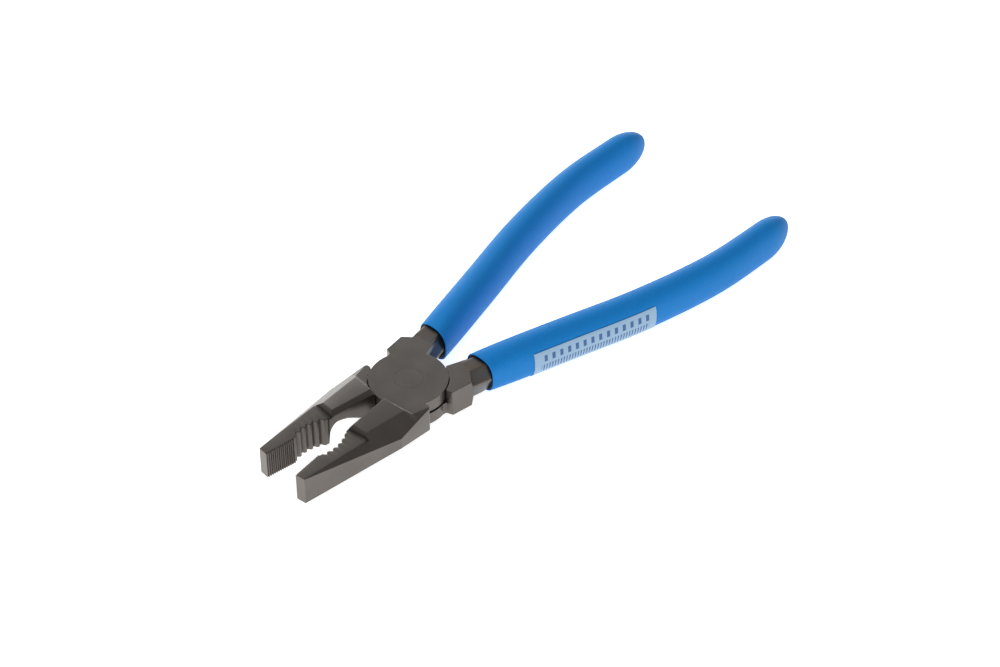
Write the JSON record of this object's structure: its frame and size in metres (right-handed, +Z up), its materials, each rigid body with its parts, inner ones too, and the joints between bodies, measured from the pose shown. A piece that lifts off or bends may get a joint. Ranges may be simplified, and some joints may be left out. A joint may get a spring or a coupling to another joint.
{
  "type": "combination pliers",
  "caption": "Combination pliers with flat gripping jaws, pipe grip teeth, side cutters, a lap joint on a flush rivet and dipped soft handle sleeves.",
  "frame": {"origin": "on the pivot axis at the flat underside of the joint", "axes": "+X along the tool to the jaw tips, midway between the halves; +Z up along the pivot, out of the side that the picture shows"},
  "size_m": [0.178, 0.068, 0.0134],
  "materials": {
    "forged_steel": "forged and ground steel, dark phosphate finish, oiled",
    "rivet_steel": "riveted over and ground flush",
    "dipped_vinyl": "dipped soft vinyl, satin",
    "label_film": "thin printed adhesive film"
  },
  "bodies": {
    "upper_lever": {"upper_half": "forged_steel", "pivot_rivet": "rivet_steel", "upper_half_grip": "dipped_vinyl"},
    "lower_lever": {"lower_half": "forged_steel", "lower_half_grip": "dipped_vinyl", "grip_label": "label_film"}
  },
  "joints": [
    {"name": "jaw_pivot", "type": "hinge", "parent": "upper_lever", "child": "lower_lever", "pos_m": [0, 0, 0.0043], "axis": [0, 0, -1], "range_deg": [-13, 26]}
  ]
}
